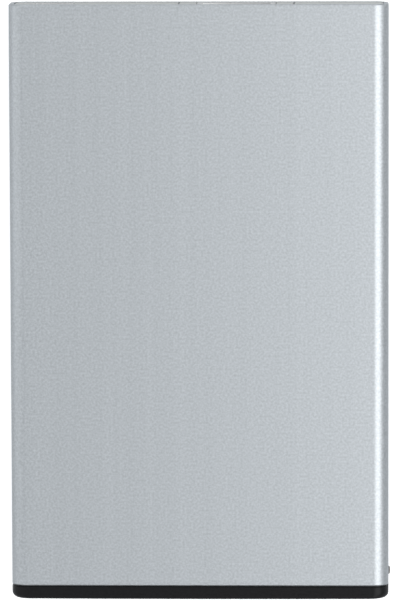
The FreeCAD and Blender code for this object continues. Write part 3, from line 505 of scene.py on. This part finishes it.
def solder_mask():
    """Green solder mask over copper: traces show as slightly lighter, raised lines."""
    tone = linear("1F5B37")
    material, tree, shader, place = surface("green solder mask on FR4", tone, 0.3, Coat_Weight=0.4)
    links = {"Vector": place, "Scale": texture_scale(0.9 * MM)}
    cells = {"distance": "MANHATTAN", "feature": "DISTANCE_TO_EDGE"}
    tracks = add_node(tree, "ShaderNodeTexVoronoi", links, **cells)
    ramp = add_node(tree, "ShaderNodeValToRGB", {"Fac": tracks.outputs["Distance"]})
    ramp.color_ramp.interpolation = "CONSTANT"
    ramp.color_ramp.elements[0].color = (*linear("2E7549"), 1)
    ramp.color_ramp.elements[1].position = 0.12
    ramp.color_ramp.elements[1].color = (*tone, 1)
    tree.links.new(ramp.outputs["Color"], shader.inputs["Base Color"])
    return material


def insulated_wires():
    """PVC insulation, extruded: red, black, white and yellow leads side by side."""
    codes = ("B32424", "1C1C1C", "DADADA", "D9B62B")
    material, tree, shader, place = surface("PVC wire insulation", linear(codes[0]), 0.35)
    left = corners("gauge_leads")[0].x
    width = 3 * MM
    split = add_node(tree, "ShaderNodeSeparateXYZ", {"Vector": place})
    links = {"Value": split.outputs["X"], "From Min": left, "From Max": left + width}
    across = add_node(tree, "ShaderNodeMapRange", links)
    ramp = add_node(tree, "ShaderNodeValToRGB", {"Fac": across.outputs["Result"]})
    ramp.color_ramp.interpolation = "CONSTANT"
    stops = ramp.color_ramp.elements
    for n, code in enumerate(codes):
        stop = stops[n] if n < len(stops) else stops.new(n / len(codes))
        stop.position = n / len(codes)
        stop.color = (*linear(code), 1)
    tree.links.new(ramp.outputs["Color"], shader.inputs["Base Color"])
    return material


# Inner materials that differ only in tone, gloss and grain: name, sRGB colour, roughness, metallic,
# spacing of the grain in mm, contrast of the grain, height of the grain in mm.
PLAIN = {
    "tray": ("matt black PC-ABS", "2A2A2C", 0.55, 0.0, 0.25, 0.15, 0.006),
    "adhesive": ("acrylic adhesive tape", "DAD7CC", 0.6, 0.0, 0.6, 0.05, 0.004),
    "foam": ("open-cell polyurethane foam", "35353A", 0.95, 0.0, 0.4, 0.45, 0.08),
    "film": ("amber polyimide film", "B8741E", 0.18, 0.0, 1.5, 0.06, 0.002),
    "nickel": ("pure nickel strip", "BDB7AB", 0.3, 1.0, 0.3, 0.08, 0.002),
    "epoxy": ("black moulded epoxy", "1E1E20", 0.5, 0.0, 0.15, 0.2, 0.003),
    "zinc": ("zinc-plated steel", "B7BBC0", 0.32, 1.0, 0.2, 0.1, 0.002),
    "pbt": ("black glass-filled PBT", "17171A", 0.4, 0.0, 0.15, 0.2, 0.003),
    "ferrite": ("pressed ferrite powder", "4A4A4E", 0.6, 0.0, 0.2, 0.2, 0.006),
    "tantalum": ("yellow moulded capacitor case", "C8A23A", 0.45, 0.0, 0.2, 0.08, 0.002),
    "ceramic": ("fired barium titanate", "A48A68", 0.4, 0.0, 0.1, 0.1, 0.002),
    "led": ("white LED package", "E9E7DC", 0.25, 0.0, 0.2, 0.04, 0.001),
}


def plain_material(key):
    """One of the inner materials, made once."""
    name, code, roughness, metallic, spacing, contrast, height = PLAIN[key]
    if name not in bpy.data.materials:
        material, tree, shader, place = surface(name, linear(code), roughness, metallic)
        grain(tree, shader, place, spacing * MM, linear(code), contrast, height * MM)
    return bpy.data.materials[name]


MADE = {}


def shared(maker):
    """The material that maker makes, made once."""
    if MADE.get(maker, "") not in bpy.data.materials:
        MADE[maker] = maker().name
    return bpy.data.materials[MADE[maker]]


# ---- the pieces


def sleeve_cutters(case):
    """Countersunk drills for the button and the lights, through the right-hand wall."""
    reach = 3 * case.wall
    ease = 0.07 * MM
    low, high = corners("charge_leds")
    first = (low.y + high.y) / 2 - case.pin_pitch * (case.pin_count - 1) / 2
    spots = [(BUTTON_Y, case.hole_radius)]
    spots += [(first + n * case.pin_pitch, case.pin_hole) for n in range(case.pin_count)]
    drills = []
    for n, (y, radius) in enumerate(spots):
        profile = [(0, radius), (reach - ease, radius)]
        profile += [(reach, radius + ease), (reach + ease, radius + 2 * ease)]
        drills.append(lathe(f"drill_{n}", profile, (HALF_X - reach, y, MID_Z), (1, 0, 0)))
    return drills


class BANK_OT_sleeve(bpy.types.Operator):
    """Builds the extruded sleeve with its bevelled rims and drilled side"""

    bl_idname = "bank.sleeve"
    bl_label = "Sleeve"

    def execute(self, context):
        case = context.scene.bank_case
        steps = case.arc_steps
        low, high = SLEEVE_LOW.y, SLEEVE_HIGH.y
        wall, edge, lip = case.wall, case.bevel, case.inner_bevel
        rings = []
        for inset, y in (
            (edge, low),
            (0, low + edge),
            (0, high - edge),
            (edge, high),
            (wall - lip, high),
            (wall, high - lip),
            (wall, low + lip),
            (wall - lip, low),
        ):
            rings.append(section(HALF_X - inset, HALF_Z - inset, case.corner - inset, steps, y))
        piece = tidy(piece_from("sleeve", *loft(rings, closed=True)))
        cut(piece, *sleeve_cutters(case))
        tidy(piece, CRISP_ANGLE)
        finish_piece(piece, "case", shared(anodised_aluminium), "aluminium_sleeve")
        return {"FINISHED"}


def quarter(steps):
    """Distances along a rounded edge, 0 to 1, closer together where it turns in fastest."""
    return [1 - math.cos(math.pi / 2 * n / steps) for n in range(steps + 1)]


def arc_inset(radius, above):
    """How far a rounded edge is set in at a height above its end."""
    left = max(radius - above, 0)
    return radius - math.sqrt(max(radius**2 - left**2, 0))


class BANK_OT_end_cap(bpy.types.Operator):
    """Builds the black cap: rounded lip, joint groove and skirt"""

    bl_idname = "bank.end_cap"
    bl_label = "End cap"

    def execute(self, context):
        case = context.scene.bank_case
        steps = case.arc_steps
        end, rim, top = CAP_LOW.y, SLEEVE_LOW.y, CAP_HIGH.y
        edge, groove = case.cap_edge, case.joint
        heights = [edge * part for part in quarter(5)]
        heights += [edge + (case.cap_corner - edge) * part for part in quarter(9)[1:]]
        rings = []
        for above in heights:
            over, side = arc_inset(edge, above), arc_inset(case.cap_corner, above)
            ring = section(HALF_X - side, HALF_Z - over, case.corner - over, steps, end + above)
            fade = 1 - above / (rim - end)
            for point in ring:
                point.y += fade * case.cap_crown * (point.x / HALF_X) ** 2
            rings.append(ring)
        chamfer = 0.2 * groove
        skirt = case.wall + case.skirt_gap
        hollow = skirt + case.wall
        soft = 0.2 * MM  # the skirt's corners are this much rounder than the sleeve's bore
        for inset, rounder, y in (
            (0, 0, rim - groove - chamfer),
            (chamfer, chamfer, rim - groove),
            (groove, 0, rim - groove),
            (groove, 0, rim),
            (skirt, soft, rim),
            (skirt, soft, top - groove),
            (skirt + groove, soft, top),
            (hollow, soft, top),
            (hollow, soft, rim),
        ):
            radius = case.corner - inset + rounder
            rings.append(section(HALF_X - inset, HALF_Z - inset, radius, steps, y))
        vertices, faces = loft(rings)
        count = len(rings[0])
        faces += ladder(0, count)
        faces += ladder(len(vertices) - count, count)
        piece = tidy(piece_from("cap", vertices, faces))
        room = 0.16 * MM
        notch = block(
            "notch",
            (HALF_X - 3 * case.wall, rim + case.skirt_gap, BUTTON_LOW.z - room),
            (HALF_X + case.wall, top + case.wall, BUTTON_HIGH.z + room),
        )
        low, high = corners("cap_screws")
        head = (high.z - low.z) / 2
        ease, bore, depth = 0.05 * MM, 0.85 * MM, 4 * MM
        profile = [(-0.2 * MM, head + 2 * ease), (0, head + ease)]
        profile += [(HEAD_DEPTH, bore), (depth, bore)]
        holes = []
        for side, x in (("left", low.x + head), ("right", high.x - head)):
            holes.append(lathe(f"seat_{side}", profile, (x, end, MID_Z), (0, 1, 0)))
        cut(piece, notch, *holes)
        tidy(piece, CRISP_ANGLE)
        finish_piece(piece, "case", shared(black_abs), "end_cap")
        return {"FINISHED"}


class BANK_OT_cap_screws(bpy.types.Operator):
    """Builds the countersunk screws, each with a cross recess"""

    bl_idname = "bank.cap_screws"
    bl_label = "Cap screws"

    def execute(self, context):
        low, high = corners("cap_screws")
        head = (high.z - low.z) / 2
        depth = high.y - low.y
        sink, rim = 0.1 * MM, 0.06 * MM
        core, crest, thread = 0.62 * MM, 0.78 * MM, 0.5 * MM
        first_turn, point = 1.0 * MM, 0.3 * MM
        profile = [(sink, TIP), (sink, head * 0.93), (sink + rim, head * 0.97), (HEAD_DEPTH, crest)]
        for n in range(int((depth - first_turn - 0.4 * MM) / thread)):
            start = first_turn + n * thread
            profile += [(start, core), (start + thread / 2, crest)]
        profile += [(depth - point, core), (depth, point)]
        screw = lathe("screw", profile, (0, 0, 0), (0, 1, 0))
        arm, half, recess = head * 0.6, 0.16 * MM, 0.6 * MM
        bars = [
            block("bar_across", (-arm, -sink, -half), (arm, recess, half)),
            block("bar_up", (-half, -sink, -arm), (half, recess, arm)),
        ]
        cut(screw, *bars)
        first = Vector((low.x + head, low.y, MID_Z))
        step = Vector((high.x - low.x - 2 * head, 0, 0))
        piece = row("cap_screw_pair", screw, 2, first, step, shared(black_screw))
        finish_piece(piece, "case", shared(black_screw), "cap_screws")
        return {"FINISHED"}


class BANK_OT_port_end(bpy.types.Operator):
    """Builds the fascia and the insert round the USB-A socket"""

    bl_idname = "bank.port_end"
    bl_label = "Port end"

    def execute(self, context):
        for name, node in (("fascia", "fascia_plate"), ("surround", "port_surround")):
            piece = refined(name, node, 0.09 * MM, 3)
            finish_piece(piece, "case", shared(satin_grey), node)
        return {"FINISHED"}


def contact_strip(node, count, gap):
    """A socket contact with a pressed dimple under it near its tip and a narrowed end, centred on
    x = 0. Returns it with its first place in the row."""
    low, high = corners(node)
    half = (high.x - low.x - (count - 1) * gap) / 2
    thick = high.z - low.z
    bays, dimple, narrow = 24, 0.8, 0.9  # the last two are shares of its length
    rings = []
    for n in range(bays + 1):
        part = n / bays
        under = 0.45 * thick * math.exp(-(((part - dimple) / 0.06) ** 2))
        x = half * (1 - 0.25 * max(part - narrow, 0) / (1 - narrow))
        y = part * (high.y - low.y)
        rings.append([(-x, y, under), (x, y, under), (x, y, thick), (-x, y, thick)])
    vertices, faces = loft(rings)
    faces += [(3, 2, 1, 0), tuple(len(vertices) - 4 + k for k in range(4))]
    return tidy(piece_from("contact", vertices, faces)), (low.x + half, low.y, low.z)


class BANK_OT_sockets(bpy.types.Operator):
    """Builds the USB-A and micro-USB sockets"""

    bl_idname = "bank.sockets"
    bl_label = "Sockets"

    def execute(self, context):
        for name, node, width in (
            ("usb_a_can", "usb_a_shell", 0.11 * MM),
            ("micro_usb_can", "micro_usb_shell", 0.09 * MM),
        ):
            piece = refined(name, node, width, 3)
            finish_piece(piece, "case", shared(plated_steel), node)
        for name, node in (
            ("usb_a_insulator", "usb_a_tongue"),
            ("micro_usb_insulator", "micro_usb_tongue"),
        ):
            piece = refined(name, node, 0.06 * MM)
            finish_piece(piece, "case", plain_material("pbt"), node)
        for name, node, count, gap in (
            ("usb_a_strips", "usb_a_contacts", 4, 2.33 * MM),
            ("micro_usb_strips", "micro_usb_contacts", 5, 0.65 * MM),
        ):
            strip, first = contact_strip(node, count, gap)
            piece = row(name, strip, count, first, (gap, 0, 0), shared(gold_flash))
            finish_piece(piece, "case", shared(gold_flash), node)
        return {"FINISHED"}


class BANK_OT_button(bpy.types.Operator):
    """Builds the power button: stem, flange, shaft and a softly domed face"""

    bl_idname = "bank.button"
    bl_label = "Button"

    def execute(self, context):
        case = context.scene.bank_case
        reach = BUTTON_HIGH.x - BUTTON_LOW.x
        flange = (BUTTON_HIGH.z - BUTTON_LOW.z) / 2
        shaft = case.hole_radius - 0.08 * MM
        stem, edge, dome = 0.6 * MM, 0.16 * MM, 0.04 * MM
        wall_in = HALF_X - case.wall - BUTTON_LOW.x
        back, front = wall_in - 0.4 * MM, wall_in - 0.05 * MM
        profile = [(0, TIP), (0, stem), (back, stem)]
        profile += [(back, flange), (front, flange), (front, shaft)]
        bays = 8
        for n in range(bays + 1):
            turn = math.pi / 2 * n / bays
            fall = dome + edge * (1 - math.sin(turn))
            profile.append((reach - fall, shaft - edge * (1 - math.cos(turn))))
        profile += [(reach - dome / 2, shaft / 2), (reach, TIP)]
        piece = lathe("button", profile, (BUTTON_LOW.x, BUTTON_Y, MID_Z), (1, 0, 0), 64)
        finish_piece(piece, "button", shared(painted_button), "power_button")
        plunger = refined("plunger", "switch_plunger", 0.08 * MM)
        finish_piece(plunger, "button", plain_material("pbt"), "switch_plunger")
        return {"FINISHED"}


class BANK_OT_lights(bpy.types.Operator):
    """Builds the light guide with its domed pins, and the lights behind it"""

    bl_idname = "bank.lights"
    bl_label = "Charge lights"

    def execute(self, context):
        case = context.scene.bank_case
        low, high = corners("light_guide")
        lamp_low, lamp_high = corners("charge_leds")
        half = (lamp_high.z - lamp_low.z) / 2
        radius = case.pin_hole - 0.06 * MM
        reach = high.x - low.x
        root, bar_thick = 0.5 * MM, 1.0 * MM
        profile = [(root, TIP), (root, radius), (reach - 0.1 * MM, radius)]
        for fall, share in ((0.04 * MM, 0.86), (0.01 * MM, 0.5)):
            profile.append((reach - fall, radius * share))
        pin = lathe("pin", [*profile, (reach, TIP / 2)], (0, 0, 0), (1, 0, 0), 32)
        step = (0, case.pin_pitch, 0)
        first = (low.x, lamp_low.y + half, MID_Z)
        pins = row("light_pins", pin, case.pin_count, first, step, shared(milky_guide))
        finish_piece(pins, "case", shared(milky_guide), "light_guide")
        bar = block("light_bar", low, (low.x + bar_thick, high.y, high.z))
        tidy(round_edges(bar, 0.12 * MM, 3), ROUND_ANGLE)
        finish_piece(bar, "case", shared(milky_guide))
        lamp = block("lamp", (0, -half, -half), (lamp_high.x - lamp_low.x, half, half))
        round_edges(lamp, 0.08 * MM)
        first = (lamp_low.x, lamp_low.y + half, MID_Z)
        lamps = row("lamps", lamp, case.pin_count, first, step, plain_material("led"))
        finish_piece(lamps, "case", plain_material("led"), "charge_leds")
        return {"FINISHED"}


# Inner nodes that keep their shape and get rounded edges: piece, edge in mm, material, record slot.
INSIDE = {
    "tray_tape": ("tray_adhesive", 0.02, "adhesive", "adhesive_tape"),
    "cell_tape": ("cell_adhesive", 0.02, "adhesive", "adhesive_tape"),
    "foam_pad": ("roof_foam", 0.12, "foam", "foam"),
    "insulation_film": ("roof_film", 0.02, "film", "polyimide_film"),
    "polyimide_tape": ("terrace_tape", 0.02, "film", "polyimide_film"),
    "cell_tabs": ("tab_pair", 0.03, "nickel", "nickel"),
    "protection_chips": ("guard_chips", 0.06, "epoxy", "chip_package"),
    "board_screws": ("board_screw_pair", 0.06, "zinc", "steel"),
    "power_inductor": ("inductor", 0.2, "ferrite", "ferrite"),
    "charge_chip": ("charger", 0.08, "epoxy", "chip_package"),
    "power_transistors": ("transistors", 0.08, "epoxy", "chip_package"),
    "polymer_capacitors": ("polymer_cans", 0.14, "tantalum", "capacitor_case"),
    "chip_capacitors": ("ceramics", 0.06, "ceramic", "ceramic"),
    "chip_resistors": ("resistors", 0.04, "epoxy", "chip_package"),
    "switch_body": ("switch_case", 0.08, "epoxy", "chip_package"),
    "switch_cover": ("switch_plate", 0.03, "nickel", "nickel_plated_steel"),
    "switch_dome": ("snap_dome", 0.03, "nickel", "nickel"),
}


class BANK_OT_insides(bpy.types.Operator):
    """Finishes the tray, the cell, the boards and what they carry"""

    bl_idname = "bank.insides"
    bl_label = "Insides"

    def execute(self, context):
        for node, (name, edge, key, slot) in INSIDE.items():
            piece = refined(name, node, edge * MM)
            finish_piece(piece, "case", plain_material(key), node)
        pouch = refined("pouch", "battery_cell", 0.1 * MM)
        finish_piece(pouch, "case", shared(cell_pouch), "battery_cell")
        for name, node in (
            ("board", "main_board"),
            ("side_board", "gauge_board"),
            ("guard", "protection_board"),
        ):
            piece = refined(name, node, 0.05 * MM)
            finish_piece(piece, "case", shared(solder_mask), node)
        for node, material in (
            ("carrier_tray", plain_material("tray")),
            ("gauge_leads", shared(insulated_wires)),
        ):
            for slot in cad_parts[node].material_slots:
                slot.material = material
        return {"FINISHED"}


# ---- the studio

# Softboxes: place, point faced, width and depth in metres, turn in degrees.
SOFTBOXES = {
    "right": ((0.62, 0.12, 0.42), (0.62, 0.12, 0), 0.26, 0.8, -36),
    "upper": ((0.24, 0.08, 0.42), (0.24, 0.08, 0), 0.3, 0.7, 0),
    "left": ((-0.48, 0.05, 0.32), (0, 0, 0), 0.4, 0.9, 0),
    "far": ((0, 1.2, 0.6), (0, 0, 0), 2.4, 1.0, 0),
    "near": ((0, -1.2, 0.6), (0, 0, 0), 2.4, 1.0, 0),
}
ROOM_LEAN = (0.3, 0, 1)  # upward direction of the room's light, leaning so that the left is lower
ROOM_FADE = 0.3  # the two brightnesses meet over this height on either side of the horizon
FLOOR_HALF = 3.0
FLOOR_DROP = 0.05 * MM
CAMERA_PLACE = (0.03253, 0.12311, 1.0791)
CAMERA_TURN = (-6.531, 1.711, -0.181)
CAMERA_LENS = 350.3


def softbox(name, place, aim, width, depth, turn, watts):
    """A rectangular area light that faces a point, turned by degrees about its own axis."""
    lamp = bpy.data.lights.new(name, "AREA")
    lamp.shape = "RECTANGLE"
    lamp.size = width
    lamp.size_y = depth
    lamp.energy = watts
    holder = bpy.data.objects.new(name, lamp)
    bpy.context.scene.collection.objects.link(holder)
    holder.location = place
    facing = (Vector(aim) - Vector(place)).to_track_quat("-Z", "Y")
    holder.rotation_euler = (facing @ Quaternion((0, 0, 1), math.radians(turn))).to_euler()


def studio_room(studio):
    """Even light from above, a little stronger from low down and from below."""
    world = bpy.data.worlds.new("room")
    world.use_nodes = True
    tree = world.node_tree
    light = tree.nodes["Background"]
    light.inputs["Color"].default_value = (*studio.room, 1)
    place = add_node(tree, "ShaderNodeTexCoord").outputs["Generated"]
    links = {0: place, 1: ROOM_LEAN}
    rise = add_node(tree, "ShaderNodeVectorMath", links, operation="DOT_PRODUCT")
    links = {"Value": rise.outputs["Value"], "From Min": -ROOM_FADE, "From Max": ROOM_FADE}
    links |= {"To Min": studio.low_strength, "To Max": studio.room_strength}
    fall = add_node(tree, "ShaderNodeMapRange", links)
    tree.links.new(fall.outputs["Result"], light.inputs["Strength"])
    return world


class BANK_OT_stage(bpy.types.Operator):
    """Sets the pale floor, the studio lights and the camera"""

    bl_idname = "bank.stage"
    bl_label = "Stage"

    def execute(self, context):
        studio = context.scene.bank_studio
        signs = ((-1, -1), (1, -1), (1, 1), (-1, 1))
        spots = [(x * FLOOR_HALF, y * FLOOR_HALF, -FLOOR_DROP) for x, y in signs]
        floor = piece_from("floor", spots, [(0, 1, 2, 3)])
        material, _, shader, _ = surface("matt white acrylic", tuple(studio.floor), 0.9)
        shader.inputs["Emission Color"].default_value = (1, 1, 1, 1)
        shader.inputs["Emission Strength"].default_value = studio.floor_glow
        floor.data.materials.append(material)
        # Reflections pass through the floor to the room's even light, as over a light table.
        floor.visible_glossy = False
        floor.visible_shadow = False

        context.scene.world = studio_room(studio)
        for name, settings in SOFTBOXES.items():
            softbox(f"{name}_softbox", *settings, getattr(studio, f"{name}_power"))
        context.scene.view_settings.view_transform = "Standard"

        lens = bpy.data.cameras.new("camera")
        lens.sensor_width = 36.0
        lens.lens = CAMERA_LENS
        lens.clip_start = 0.01
        lens.clip_end = 10.0
        camera = bpy.data.objects.new("camera", lens)
        camera.location = CAMERA_PLACE
        camera.rotation_euler = Euler([math.radians(v) for v in CAMERA_TURN], "XYZ")
        context.scene.collection.objects.link(camera)
        context.scene.camera = camera
        return {"FINISHED"}


class BANK_PT_panel(bpy.types.Panel):
    """Lists the pieces and their settings"""

    bl_idname = "BANK_PT_panel"
    bl_label = "Power bank"
    bl_space_type = "VIEW_3D"
    bl_region_type = "UI"
    bl_category = "Power bank"

    def draw(self, context):
        for operator in OPERATORS:
            self.layout.operator(operator.bl_idname)
        for name, kind in GROUPS.items():
            column = self.layout.column()
            for key in kind.__annotations__:
                column.prop(getattr(context.scene, name), key)


GROUPS = {"bank_case": CaseSettings, "bank_finish": FinishSettings, "bank_studio": StudioSettings}
OPERATORS = (
    BANK_OT_sleeve,
    BANK_OT_end_cap,
    BANK_OT_cap_screws,
    BANK_OT_port_end,
    BANK_OT_sockets,
    BANK_OT_button,
    BANK_OT_lights,
    BANK_OT_insides,
    BANK_OT_stage,
)


def register():
    for group in (*GROUPS.values(), *OPERATORS, BANK_PT_panel):
        bpy.utils.register_class(group)
    for name, group in GROUPS.items():
        setattr(bpy.types.Scene, name, PointerProperty(type=group))


def unregister():
    for name in GROUPS:
        delattr(bpy.types.Scene, name)
    for group in reversed((*GROUPS.values(), *OPERATORS, BANK_PT_panel)):
        bpy.utils.unregister_class(group)


def main():
    register()
    for operator in OPERATORS:
        getattr(bpy.ops.bank, operator.bl_idname.split(".")[1])()


if __name__ == "__main__":
    main()
